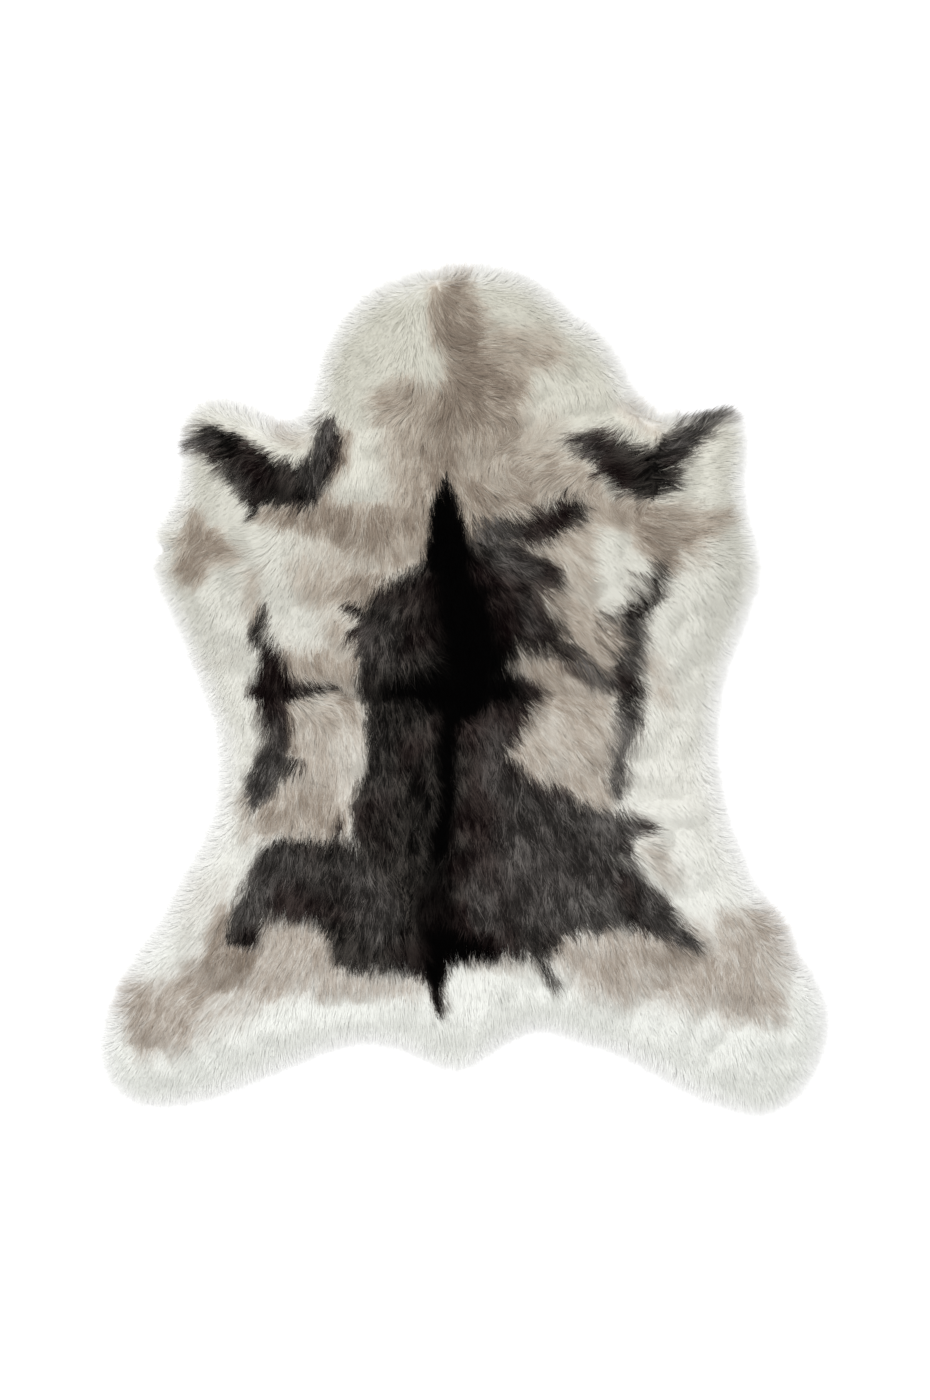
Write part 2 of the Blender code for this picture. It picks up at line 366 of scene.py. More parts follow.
# How the hair lies: where on the photograph, and towards which bearing, in degrees from the
# right, turning left. The hair between the marks is combed mostly by the nearest of them: the
# weight of a mark falls with this power of the distance, and levels off so many pixels from it.
COMB_FALL, COMB_LEVEL = 3.0, 4
Lie = namedtuple("Lie", "left top bearing")
LIES = rows(
    Lie,
    (390, 310, -158), (424, 292, -120), (426, 322, -90), (452, 286, -48), (482, 287, -14),
    (360, 350, -152), (500, 300, -18), (545, 315, -22), (585, 360, -38), (450, 304, -36),
    (478, 334, 14), (452, 345, 10), (402, 340, -118), (430, 350, -72), (606, 386, -70),
    (568, 404, -90), (560, 376, -48), (602, 428, -174), (640, 418, -112), (576, 430, -170),
    (474, 366, 8), (500, 486, -34), (395, 398, -170), (384, 430, -100), (440, 400, -110),
    (470, 388, -30), (502, 400, -14), (520, 400, -60), (545, 355, -20), (430, 460, -92),
    (480, 460, -86), (515, 440, -160), (545, 456, -170), (350, 470, -95), (560, 470, -165),
    (590, 440, -172), (597, 472, -140), (636, 470, -170), (646, 494, -170), (648, 456, -170),
    (664, 462, 10), (670, 482, 10), (662, 500, 10), (684, 438, 14), (706, 420, 14), (726, 410, 14),
    (716, 437, 14), (700, 458, 12), (690, 482, 8), (722, 460, 6), (705, 498, 6), (171, 536, -172),
    (170, 566, -165), (730, 474, -4), (320, 685, 6), (486, 520, -66), (515, 520, -36),
    (560, 515, -36), (582, 502, -38), (600, 530, -30), (650, 525, -18), (705, 517, 4),
    (520, 565, -30), (560, 585, -36), (500, 600, -52), (545, 620, -48), (590, 600, -38),
    (620, 560, -45), (600, 645, -40), (645, 590, -44), (632, 650, -58), (520, 655, -75),
    (480, 640, -82), (700, 600, -60), (215, 440, -150), (222, 412, 170), (255, 420, 168),
    (290, 431, 170), (250, 465, -140), (290, 485, -105), (325, 435, -82), (310, 470, -100),
    (196, 520, -98), (192, 560, -100), (228, 556, -158), (250, 535, -175), (345, 520, -95),
    (400, 540, -88), (425, 560, -110), (395, 585, -122), (365, 620, -120), (400, 640, -80),
    (430, 660, -50), (352, 650, -110), (300, 620, -112), (262, 630, -112), (310, 665, -62),
    (230, 620, -110), (345, 600, -130), (310, 760, -92), (270, 760, -104), (400, 760, -86),
    (425, 850, -88), (480, 760, -66), (500, 820, -84), (556, 700, -34), (570, 745, -52),
    (590, 785, -58), (535, 790, -74), (600, 835, -64), (645, 826, -14), (560, 880, -86),
    (590, 868, -80), (625, 895, -60), (672, 915, -50), (510, 920, -86), (622, 745, -78),
    (690, 760, -82), (300, 880, -98), (240, 920, -106), (205, 960, -128), (155, 1015, -118),
    (285, 955, -118), (330, 975, -92), (400, 980, -90), (438, 1000, -84), (545, 965, -62),
    (605, 965, -76), (655, 975, -60), (735, 975, -82), (785, 965, -48), (765, 1020, -62),
    (220, 720, -98), (230, 850, -112), (700, 860, -64), (330, 1020, -92), (560, 1010, -88),
    (202, 640, -138), (214, 700, -130), (214, 780, -132), (198, 850, -140), (168, 920, -142),
    (714, 690, -50), (714, 780, -50), (734, 860, -40),
)

# The patches of the coat as they are charted on the photograph. Each stroke runs from one
# place to another, in pixels, is as wide at its ends as twice the radii given, and fades
# over the soft width at its edge.
Stroke = namedtuple("Stroke", "left top radius to_left to_top to_radius strength soft")
TAUPE = rows(
    Stroke,
    (480, 500, 60, 560, 620, 60, 0.36, 26), (548, 600, 60, 552, 755, 62, 0.42, 20),
    (330, 520, 40, 360, 600, 40, 0.25, 24), (322, 660, 46, 320, 800, 52, 0.36, 18),
    (268, 955, 44, 170, 1015, 34, 0.34, 18), (600, 958, 34, 742, 968, 44, 0.4, 18),
    (458, 296, 17, 458, 322, 22, 0.78, 9), (456, 282, 15, 458, 294, 17, 0.34, 9),
    (434, 291, 6, 440, 340, 9, 0.85, 7), (460, 322, 22, 470, 375, 24, 0.9, 10),
    (447, 340, 9, 456, 384, 9, 0.62, 8), (476, 378, 20, 494, 390, 22, 1, 12),
    (478, 392, 28, 468, 408, 26, 1, 14), (455, 405, 24, 450, 424, 22, 0.95, 14),
    (496, 352, 20, 540, 350, 20, 0.46, 12), (500, 366, 18, 552, 360, 12, 0.56, 10),
    (536, 352, 8, 556, 358, 6, 0.62, 8), (506, 392, 22, 502, 422, 16, 0.72, 10),
    (450, 405, 22, 395, 402, 20, 0.6, 9), (395, 402, 18, 386, 420, 12, 0.52, 8),
    (445, 420, 28, 443, 480, 22, 0.86, 16), (412, 440, 24, 408, 500, 24, 0.6, 18),
    (492, 435, 36, 505, 484, 40, 0.58, 18), (545, 470, 28, 585, 494, 20, 0.56, 16),
    (410, 505, 22, 418, 545, 18, 0.74, 12), (474, 498, 18, 476, 530, 16, 0.82, 9),
    (345, 440, 7, 338, 478, 9, 0.75, 8), (268, 518, 7, 320, 522, 14, 0.85, 8),
    (330, 510, 18, 352, 528, 22, 0.85, 12), (350, 530, 26, 400, 535, 34, 0.72, 16),
    (405, 540, 26, 425, 520, 20, 0.72, 12), (300, 590, 14, 380, 590, 22, 0.55, 12),
    (342, 596, 14, 368, 588, 20, 0.72, 10), (330, 628, 12, 346, 636, 9, 0.5, 10),
    (199, 522, 10, 196, 568, 15, 0.8, 10), (194, 545, 14, 208, 548, 20, 0.82, 10),
    (210, 548, 18, 238, 556, 7, 0.76, 10), (256, 578, 7, 257, 612, 8, 0.52, 12),
    (600, 512, 14, 640, 522, 22, 0.66, 12), (640, 524, 22, 684, 532, 20, 0.72, 15),
    (684, 532, 17, 716, 521, 8, 0.76, 11), (658, 540, 20, 664, 560, 12, 0.78, 11),
    (575, 535, 22, 590, 560, 12, 0.52, 12), (575, 620, 24, 605, 640, 24, 0.56, 14),
    (560, 600, 10, 590, 605, 10, 0.5, 10), (600, 664, 10, 560, 668, 10, 0.72, 8),
    (520, 660, 10, 548, 672, 17, 0.58, 9), (540, 690, 22, 590, 710, 20, 0.6, 12),
    (572, 780, 20, 598, 790, 16, 0.5, 12), (516, 748, 14, 530, 764, 16, 0.36, 9),
    (650, 665, 10, 660, 692, 9, 0.45, 13), (290, 660, 14, 350, 665, 14, 0.62, 9),
    (312, 712, 26, 314, 792, 28, 0.42, 14), (290, 712, 9, 292, 745, 8, 0.72, 8),
    (345, 700, 12, 352, 712, 12, 0.6, 8), (275, 815, 18, 332, 818, 16, 0.7, 12),
    (280, 790, 14, 320, 800, 20, 0.62, 12), (248, 796, 8, 250, 830, 8, 0.4, 9),
    (272, 930, 12, 330, 962, 20, 0.42, 12), (252, 952, 12, 300, 958, 22, 0.46, 12),
    (226, 908, 8, 220, 956, 13, 0.74, 10), (245, 962, 15, 222, 975, 20, 0.66, 10),
    (208, 972, 20, 185, 1000, 22, 0.58, 14), (300, 962, 26, 260, 985, 18, 0.46, 12),
    (325, 982, 13, 420, 981, 8, 0.42, 11), (226, 886, 9, 200, 945, 10, 0.16, 14),
    (145, 1001, 20, 152, 1028, 22, 0.56, 14), (173, 998, 20, 181, 1024, 18, 0.52, 14),
    (152, 1034, 15, 180, 1030, 13, 0.52, 14), (228, 954, 9, 250, 957, 8, 1.05, 7),
    (572, 948, 18, 606, 952, 30, 0.44, 10), (606, 965, 26, 622, 988, 13, 0.48, 10),
    (640, 962, 26, 705, 968, 28, 0.56, 14), (705, 966, 28, 742, 955, 32, 0.5, 14),
    (742, 950, 28, 758, 932, 22, 0.48, 14), (738, 985, 34, 762, 1000, 22, 0.46, 14),
    (726, 925, 14, 764, 922, 12, 0.42, 12), (652, 852, 10, 668, 874, 9, 0.36, 13),
    (470, 958, 6, 530, 960, 6, 0.3, 6), (395, 405, 13, 450, 412, 14, 0.6, 10),
    (552, 596, 16, 566, 622, 14, 0.5, 10), (350, 756, 10, 350, 812, 10, 0.42, 8),
    (278, 932, 18, 326, 944, 20, 0.52, 12), (560, 948, 14, 640, 944, 18, 0.42, 10),
    (640, 946, 16, 700, 956, 16, 0.5, 12), (470, 430, 20, 540, 440, 24, 0.36, 18),
    (342, 566, 10, 300, 580, 10, 0.36, 12), (420, 396, 10, 470, 392, 10, 0.35, 10),
    (356, 700, 8, 356, 730, 8, 0.4, 10), (300, 566, 10, 340, 572, 14, 0.4, 12),
    (208, 890, 10, 192, 940, 10, 0.12, 14), (672, 556, 14, 694, 560, 10, 0.26, 12),
    # The stroke from (205, 662) to (250, 652) is painted shade along a crease in the hide.
    (205, 662, 1, 250, 652, 1, 0.16, 5), (446, 300, 5, 462, 312, 5, 0.95, 6),
    (622, 414, 9, 655, 433, 10, 0.36, 9), (276, 434, 9, 302, 444, 10, 0.26, 10),
)
CHARCOAL = rows(
    Stroke,
    (194, 446, 2, 212, 442, 11, 1, 7), (212, 442, 12, 234, 456, 17, 1, 8),
    (234, 457, 17, 262, 480, 23, 1, 8), (262, 483, 22, 302, 493, 19, 1, 8),
    (302, 488, 19, 321, 472, 14, 1, 8), (321, 472, 14, 330, 448, 14, 1, 8),
    (330, 448, 13, 328, 432, 9, 1, 9), (256, 502, 7, 257, 519, 2, 1, 5),
    (573, 441, 3, 598, 447, 14, 1, 9), (600, 448, 15, 628, 468, 20, 1, 9),
    (578, 455, 3, 600, 457, 8, 0.9, 8), (606, 470, 10, 594, 478, 4, 0.8, 8),
    (628, 470, 21, 650, 478, 23, 1, 9), (650, 472, 19, 678, 447, 12, 1, 8),
    (624, 484, 11, 648, 491, 12, 1, 8), (678, 447, 12, 702, 429, 11, 0.76, 9),
    (702, 428, 11, 718, 418, 7, 0.7, 9), (715, 418, 6, 724, 413, 3, 0.46, 8),
    (490, 536, 16, 534, 530, 16, 0.85, 13), (536, 527, 16, 566, 514, 14, 1, 10),
    (566, 512, 12, 580, 507, 5, 1, 8), (480, 562, 26, 515, 568, 21, 1, 12),
    (515, 568, 20, 548, 578, 12, 1, 11), (516, 588, 18, 530, 600, 14, 0.9, 11),
    (496, 596, 32, 514, 612, 29, 1, 12), (520, 625, 26, 540, 632, 20, 1, 16),
    (495, 622, 28, 506, 645, 15, 1, 12), (548, 640, 13, 572, 652, 8, 0.74, 11),
    (573, 652, 6, 590, 661, 4, 0.7, 7), (426, 590, 22, 396, 610, 25, 1, 12),
    (392, 628, 33, 396, 680, 35, 1, 10), (420, 600, 26, 425, 700, 30, 1, 10),
    (364, 614, 7, 347, 607, 3, 1, 5), (362, 634, 8, 350, 638, 3, 1, 5),
    (404, 700, 35, 402, 790, 36, 1, 8), (470, 690, 36, 470, 800, 38, 1, 10),
    (505, 694, 26, 500, 724, 20, 1, 10), (512, 689, 20, 533, 688, 8, 1, 8),
    (446, 700, 24, 442, 900, 30, 1, 10), (388, 800, 34, 394, 880, 38, 1, 9),
    (398, 880, 42, 396, 932, 34, 1, 9), (365, 940, 26, 400, 940, 26, 1, 8),
    (425, 930, 30, 436, 952, 18, 1, 8), (408, 950, 9, 430, 976, 5, 0.95, 7),
    (480, 830, 44, 490, 900, 48, 1, 12), (520, 800, 26, 536, 800, 20, 1, 9),
    (536, 830, 48, 556, 888, 47, 1, 9), (586, 842, 38, 596, 882, 44, 1, 9),
    (602, 834, 24, 622, 826, 13, 1, 8), (624, 822, 11, 644, 827, 6, 0.88, 8),
    (611, 884, 25, 649, 912, 20, 1, 9), (650, 912, 19, 680, 934, 10, 0.76, 9),
    (680, 934, 9, 692, 943, 4, 1, 6), (470, 936, 18, 545, 936, 14, 1, 8),
    (285, 867, 29, 345, 868, 30, 1, 8), (282, 886, 27, 325, 890, 29, 1, 8),
    (268, 884, 21, 252, 912, 19, 0.76, 9), (250, 916, 17, 247, 930, 16, 0.9, 9),
    (345, 900, 30, 362, 940, 27, 1, 8), (339, 818, 1, 341, 846, 5, 1, 5),
    (533, 948, 5, 553, 978, 4, 0.85, 7), (436, 975, 8, 440, 1006, 4, 1, 6),
    (265, 609, 3, 263, 626, 6, 1, 6), (263, 625, 5, 257, 636, 5, 1, 6),
    (268, 646, 5, 273, 664, 10, 1, 6), (273, 665, 11, 275, 680, 15, 1, 8),
    (268, 688, 16, 291, 689, 13, 1, 8), (273, 702, 15, 278, 722, 13, 1, 9),
    (278, 722, 13, 280, 746, 11, 0.9, 9), (276, 750, 13, 272, 768, 16, 0.95, 9),
    (290, 764, 8, 303, 768, 2, 1, 8), (265, 778, 14, 260, 793, 10, 1, 8),
    (259, 793, 8, 256, 806, 4, 0.95, 6), (300, 686, 6, 348, 687, 2, 1, 5),
    (656, 564, 4, 653, 592, 7, 0.88, 7), (652, 594, 5, 634, 612, 8, 0.95, 8),
    (628, 618, 11, 631, 640, 11, 0.86, 10), (631, 642, 11, 626, 664, 11, 0.82, 10),
    (620, 670, 11, 628, 690, 13, 0.84, 9), (628, 692, 13, 628, 716, 12, 0.82, 10),
    (627, 722, 12, 619, 750, 10, 0.66, 10), (617, 750, 10, 615, 774, 10, 0.66, 9),
    (614, 776, 10, 615, 792, 6, 0.72, 8), (626, 617, 6, 598, 618, 2, 0.8, 6),
    (642, 600, 4, 626, 599, 1, 0.8, 5), (570, 668, 5, 600, 674, 6, 0.72, 7),
    (600, 677, 6, 622, 680, 10, 0.95, 8), (590, 680, 4, 604, 684, 6, 0.66, 8),
    (552, 651, 9, 582, 663, 6, 0.8, 8), (498, 772, 18, 518, 792, 18, 1, 9),
    (268, 642, 5, 274, 662, 10, 1, 7), (614, 584, 1, 650, 597, 3, 0.75, 6),
    (620, 572, 1, 652, 584, 3, 0.6, 6), (604, 604, 1, 634, 610, 4, 0.75, 6),
    (596, 628, 1, 624, 634, 4, 0.6, 6), (604, 648, 2, 624, 660, 5, 0.7, 7),
    (596, 640, 1, 616, 652, 3, 0.6, 6), (272, 656, 10, 284, 684, 8, 1, 8),
    (259, 638, 3, 268, 652, 5, 0.95, 5),
)
BLACK = rows(
    Stroke,
    (445, 484, 3, 446, 506, 12, 1, 9), (446, 508, 13, 449, 560, 24, 1, 12),
    (448, 565, 19, 462, 610, 32, 1, 22), (462, 610, 33, 472, 650, 34, 1, 26),
    # The stroke from (384, 688) and the one from (440, 690) are painted shade along a crease
    # across the middle of the hide.
    (468, 650, 33, 466, 690, 30, 1, 22), (384, 688, 10, 440, 690, 20, 0.95, 13),
    (440, 690, 22, 506, 688, 14, 1, 18), (468, 700, 24, 450, 724, 8, 1, 12),
    (447, 716, 10, 447, 800, 9, 0.95, 8), (446, 800, 9, 440, 850, 12, 0.95, 8),
    (436, 855, 13, 436, 905, 24, 0.64, 16), (436, 905, 25, 438, 938, 26, 0.66, 14),
    (444, 938, 18, 488, 946, 8, 1, 9), (434, 958, 13, 436, 985, 5, 1, 7),
    (436, 985, 5, 440, 1004, 3, 0.8, 5), (505, 592, 5, 478, 590, 12, 0.8, 8),
    (264, 692, 8, 292, 692, 7, 0.6, 9), (238, 937, 8, 256, 937, 6, 0.72, 8),
    (616, 466, 11, 650, 486, 13, 0.42, 12), (272, 490, 12, 296, 498, 9, 0.5, 12),
    (266, 474, 9, 226, 452, 9, 0.38, 10), (404, 706, 12, 410, 726, 10, 0.34, 12),
    # The stroke from (384, 700) is painted shade just below that crease.
    (498, 598, 12, 500, 630, 10, 0.6, 14), (384, 700, 14, 520, 704, 14, 0.34, 16),
    (412, 752, 18, 420, 830, 20, 0.24, 16), (472, 808, 18, 482, 860, 20, 0.26, 18),
    (404, 946, 11, 424, 956, 10, 0.5, 11), (625, 888, 10, 630, 900, 8, 0.36, 10),
    (438, 606, 8, 446, 668, 12, 0.7, 18),
)
FROST = rows(
    Stroke,
    (520, 850, 44, 600, 880, 40, 0.62, 20), (492, 860, 20, 520, 900, 28, 0.45, 18),
    (540, 900, 36, 600, 900, 28, 0.6, 18), (560, 812, 16, 630, 828, 14, 0.8, 12),
    (606, 850, 14, 628, 866, 12, 1, 12), (500, 556, 13, 530, 572, 10, 0.6, 11),
    (520, 610, 12, 534, 628, 12, 0.5, 12), (490, 536, 12, 506, 533, 11, 1, 10),
    (582, 448, 10, 600, 452, 10, 0.55, 9), (696, 428, 12, 722, 412, 10, 1, 8),
    (492, 724, 16, 496, 764, 14, 0.55, 14), (496, 780, 16, 546, 808, 15, 0.66, 14),
    (384, 722, 16, 388, 790, 18, 0.3, 14), (352, 868, 18, 385, 920, 24, 0.62, 16),
    (624, 724, 18, 620, 790, 20, 1, 14), (584, 664, 8, 602, 674, 9, 1, 8),
    (632, 630, 12, 628, 660, 12, 0.65, 10), (276, 726, 12, 276, 744, 12, 0.5, 12),
    (272, 764, 14, 258, 796, 14, 0.9, 10), (384, 622, 16, 388, 664, 18, 0.36, 14),
    (272, 862, 16, 292, 864, 16, 0.72, 12), (310, 872, 20, 345, 872, 24, 0.36, 16),
    (262, 880, 16, 246, 915, 14, 0.85, 12), (196, 443, 9, 208, 443, 9, 0.85, 8),
    (238, 470, 8, 258, 488, 8, 0.45, 9), (312, 484, 11, 326, 436, 11, 0.72, 11),
    (368, 622, 8, 368, 664, 9, 0.52, 10), (600, 470, 9, 612, 474, 8, 0.3, 9),
    (672, 452, 10, 700, 430, 11, 0.75, 9), (640, 900, 14, 684, 936, 10, 0.9, 10),
    (500, 605, 18, 540, 628, 14, 0.3, 12), (478, 850, 16, 484, 918, 20, 0.62, 14),
    (470, 560, 12, 505, 575, 14, 0.4, 14), (560, 905, 22, 604, 904, 20, 0.95, 16),
)
WHITE = rows(
    Stroke,
    (611, 548, 18, 608, 593, 17, 1, 12), (288, 592, 12, 304, 628, 22, 0.95, 12),
    (304, 628, 18, 318, 636, 10, 0.9, 10), (354, 736, 9, 352, 795, 9, 0.45, 10),
    (349, 806, 4, 349, 820, 4, 0.5, 7), (350, 822, 3, 359, 846, 2, 0.85, 5),
    (350, 490, 16, 378, 488, 14, 0.9, 14), (612, 856, 8, 628, 864, 8, 0.4, 10),
    (588, 903, 8, 606, 906, 10, 0.36, 12),
)

# Where the fringe is parted or worn short at the rim.
WORN = rows(
    Stroke, (148, 549, 8, 178, 550, 5, 1, 4), (566, 301, 4, 558, 306, 4, 0.9, 4),
    (572, 319, 3, 568, 322, 3, 0.7, 4),
)
# Where the hair lies along the rim instead of out over it.
SLEEK = rows(Stroke, (684, 418, 10, 736, 408, 10, 0.85, 6))

# The edges of the patches waver in waves of this width, by up to so many pixels, and those of
# the charcoal fade over more than the width that its strokes give, because hairs cross them.
WARP_WIDE, WARP_FAR = 14, 3.5
DARK_SOFTER = 1.35

# Tones go up to TONE_MOST. The taupe is mottled in waves of two widths, in pixels, and the hair
# sways from its bearing in waves of two widths, with an angle for each: least in the white.
TONE_MOST = 1.2
MOTTLE = 0.18
MOTTLE_WIDE, MOTTLE_FINE = 30, 13
SWAY_WIDE, SWAY_FINE = 60 * MM, 24 * MM
SWAY_WIDE_FAR, SWAY_FINE_FAR = np.radians(17), np.radians(20)
SWAY_IN_WHITE = 0.5

# At the rim the hair turns out over the edge: how sharply, and how strongly.
TURN_SHARP, TURN_PULL = 4, 1.1


def inside(points, ring):
    """True for each point that the closed ring goes round."""
    x, y = points[:, 0, None], points[:, 1, None]
    start, end = ring, np.roll(ring, -1, axis=0)
    spans = (start[:, 1] > y) != (end[:, 1] > y)
    rise = np.where(spans, end[:, 1] - start[:, 1], 1)
    crossing = start[:, 0] + (y - start[:, 1]) / rise * (end[:, 0] - start[:, 0])
    return (spans & (x < crossing)).sum(1) % 2 == 1


def bumps(points, wide, layer):
    """Smooth ups and downs of this width over the points, from about -1 to 1."""
    return np.array([noise.noise(Vector((x / wide, y / wide, layer))) for x, y in points])


def in_pixels(points):
    """The pixels at which places on the hide show."""
    across = points[:, 0] / PIXEL + PHOTO_MIDDLE[0]
    return np.stack([across, PHOTO_MIDDLE[1] - points[:, 1] / PIXEL], 1)


def unit(ways):
    """The same directions, each one unit long."""
    return ways / np.linalg.norm(ways, axis=1)[:, None]


def strength_of(strokes, pixels, softer=1):
    """How far the strokes cover each place, from 0 to 1, soft at their edges."""
    most = np.zeros(len(pixels))
    for stroke in strokes:
        start = np.array([stroke.left, stroke.top])
        run = np.array([stroke.to_left, stroke.to_top]) - start
        share = np.clip((pixels - start) @ run / (run @ run), 0, 1)
        away = np.linalg.norm(pixels - start - share[:, None] * run, axis=1)
        radius = stroke.radius + share * (stroke.to_radius - stroke.radius)
        cover = np.clip(0.5 + (radius - away) / (2 * stroke.soft * softer), 0, 1)
        most = np.maximum(most, stroke.strength * cover * cover * (3 - 2 * cover))
    return most


def combed(pixels):
    """The unit vector along which the hair lies at each place."""
    marks = np.array([(mark.left, mark.top) for mark in LIES])
    bearings = np.radians([mark.bearing for mark in LIES])
    apart = np.linalg.norm(pixels[:, None] - marks[None], axis=2) + COMB_LEVEL
    weight = apart**-COMB_FALL
    return unit(weight @ np.stack([np.cos(bearings), np.sin(bearings)], 1))


def down_points():
    """Places for the undercoat's vertices: its edge, then an even lattice inside."""
    edge = inset(skin_edge, DOWN_IN, DOWN_EDGE_STEPS)
    low, high = edge.min(0), edge.max(0)
    row_step = DOWN_STEP * math.sin(math.radians(60))
    ups = np.arange(low[1], high[1], row_step)
    columns = np.arange(low[0], high[0], DOWN_STEP)
    lattice = np.array(
        [(x + number % 2 * DOWN_STEP / 2, y) for number, y in enumerate(ups) for x in columns]
    )
    lattice = lattice[inside(lattice, edge)]
    far, _ = nearest_on(edge, lattice)
    return edge, np.vstack([edge, lattice[far > DOWN_CLEAR]])


def top_of_solid(points):
    """Height of the solid coat over each point."""
    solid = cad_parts["hide"].data
    tree = BVHTree.FromPolygons(
        [vertex.co for vertex in solid.vertices], [face.vertices for face in solid.polygons]
    )
    down = Vector((0, 0, -1))
    hits = [tree.ray_cast(Vector((x, y, 1)), down)[0] for x, y in points]
    return np.array([hit.z if hit else SKIN_THICK for hit in hits])


def keep(data, name, values):
    """Stores one number or one vector for each vertex of the mesh."""
    kind, field = ("FLOAT", "value") if values.ndim == 1 else ("FLOAT_VECTOR", "vector")
    layer = data.attributes.new(name, kind, "POINT")
    layer.data.foreach_set(field, values.astype(np.float32).ravel())


def down_mesh():
    """The body of the undercoat: a lumpy top, and a level foot just above the skin."""
    edge, places = down_points()
    ring = [(i, (i + 1) % len(edge)) for i in range(len(edge))]
    found = delaunay_2d_cdt([Vector(place) for place in places], ring, [], 1, 1e-6)
    flat = np.array(found[0])
    tips = top_of_solid(flat)
    high = np.maximum(tips - DOWN_BELOW_TIPS, tips * DOWN_LEAST_SHARE)
    mesh = bmesh.new()
    for point, top in zip(flat, high):
        mesh.verts.new((*point, max(top, SKIN_THICK + DOWN_LEAST)))
    mesh.verts.ensure_lookup_table()
    for face in found[2]:
        mesh.faces.new([mesh.verts[i] for i in face])
    rim = [line for line in mesh.edges if line.is_boundary]
    made = bmesh.ops.extrude_edge_only(mesh, edges=rim)["geom"]
    lower = {item for item in made if isinstance(item, bmesh.types.BMVert)}
    for vertex in lower:
        vertex.co.z = SKIN_THICK + DOWN_OFF_SKIN
    hem = [item for item in made if isinstance(item, bmesh.types.BMEdge)]
    hem = [line for line in hem if all(vertex in lower for vertex in line.verts)]
    bmesh.ops.contextual_create(mesh, geom=hem)
    bmesh.ops.recalc_face_normals(mesh, faces=mesh.faces)
    bmesh.ops.triangulate(mesh, faces=mesh.faces)
    data = bpy.data.meshes.new("undercoat")
    mesh.to_mesh(data)
    mesh.free()
    data.shade_smooth()
    return data


def keep_chart(data):
    """Stores the tones of the coat, how it lies, how near the rim is and where it is worn."""
    spots = np.array([vertex.co[:] for vertex in data.vertices])
    flat = spots[:, :2]
    pixels = in_pixels(flat)
    waver = np.stack([bumps(pixels, WARP_WIDE, 1), bumps(pixels, WARP_WIDE, 5)], 1)
    warped = pixels + WARP_FAR * waver
    white = strength_of(WHITE, warped)
    black = strength_of(BLACK, warped)
    charcoal = strength_of(CHARCOAL, warped, DARK_SOFTER) * (1 - white)
    charcoal = np.maximum(charcoal, black) * TONE_MOST
    frost = strength_of(FROST, warped) * (1 - black)
    mottle = MOTTLE * bumps(pixels, MOTTLE_WIDE, 2) + MOTTLE * bumps(pixels, MOTTLE_FINE, 7)
    taupe = strength_of(TAUPE, warped) * (1 - white)
    taupe = taupe * (1 + 1.6 * mottle) + 0.25 * mottle * (taupe > 0.1)
    taupe = np.clip(taupe, 0, TONE_MOST)
    keep(data, "pelt", np.stack([taupe, charcoal, black - frost], 1))

    away, nearest = nearest_on(skin_edge, flat)
    rim = np.clip(1 - away / RIM_WIDE, 0, 1)
    sway = SWAY_WIDE_FAR * bumps(flat, SWAY_WIDE, 9) + SWAY_FINE_FAR * bumps(flat, SWAY_FINE, 3)
    coloured = np.clip(np.maximum(taupe * 1.5, charcoal), 0, 1)
    sway *= SWAY_IN_WHITE + (1 - SWAY_IN_WHITE) * coloured
    right, up = combed(pixels).T
    cosine, sine = np.cos(sway), np.sin(sway)
    turned = np.stack([right * cosine - up * sine, right * sine + up * cosine], 1)
    pull = (rim**TURN_SHARP * (1 - strength_of(SLEEK, pixels)))[:, None]
    way = unit(turned * (1 - pull) + outward(skin_edge)[nearest] * TURN_PULL * pull)
    keep(data, "lie", np.hstack([way, np.zeros((len(way), 1))]))
    keep(data, "rim", rim)
    keep(data, "worn", strength_of(WORN, pixels))
    upper = spots[:, 2] > SKIN_THICK + (DOWN_LEAST + DOWN_OFF_SKIN) / 2
    keep(data, "upper", upper)


down = down_mesh()
keep_chart(down)
undercoat = linked("undercoat", down)

# The winter coat is long hollow guard hair, combed along the animal and gathered in fine
# tufts. It is made as one growth over the whole hide and kept in bands, from neck to legs.
COAT = {
    "Hair Long": 30 * MM, "Hair Wide": 0.72 * MM, "Hair Apart": 0.99 * MM,
    "Tuft Apart": 4.2 * MM, "Loft": 8.5 * MM, "Gather": 0.32,
}
SEED = 11
HAIR_LEAST_HIGH = 0.4 * MM

# A blade has this share of its width at its root, a little more a third of the way along, and
# none at its tip, where its two corners are welded into one.
ROOT_WIDE, BLADE_WELD = 0.62, 0.001

# Roots and tufts are offered at so many to the square of their least distance, and the streaks
# come from a noise of this scale, taken in steps of this length along the hair.
CROWDED = 1.4
STREAK_SCALE, STREAK_STEP = 190, 5 * MM

Band = namedtuple("Band", "name back front")
BANDS = rows(
    Band,
    ("hair_neck", 290, 700),
    ("hair_shoulders", 145, 290),
    ("hair_ribs", -10, 145),
    ("hair_loins", -190, -10),
    ("hair_haunches", -350, -190),
    ("hair_legs", -700, -350),
)

# The colours of the hair. The whites run from the hind legs at 0 to the neck at 1, and so do
# the beiges. Towards the neck the whites are painted darker and yellower: partly the coat's warmer
# tone there, partly painted shade where the light falls off towards the crown. The browns and the
# frosted ones run from the darkest hair to the palest, and the two ends of the charcoal have a
# cool and a warm colour each.
HIDE_HALF = 0.4
WHITES_SHADED_TO_NECK = (
    (0.0, (0.780, 0.790, 0.750, 1)), (0.35, (0.740, 0.735, 0.680, 1)),
    (0.66, (0.640, 0.635, 0.575, 1)), (0.90, (0.665, 0.655, 0.580, 1)),
    (1.0, (0.590, 0.580, 0.505, 1)),
)
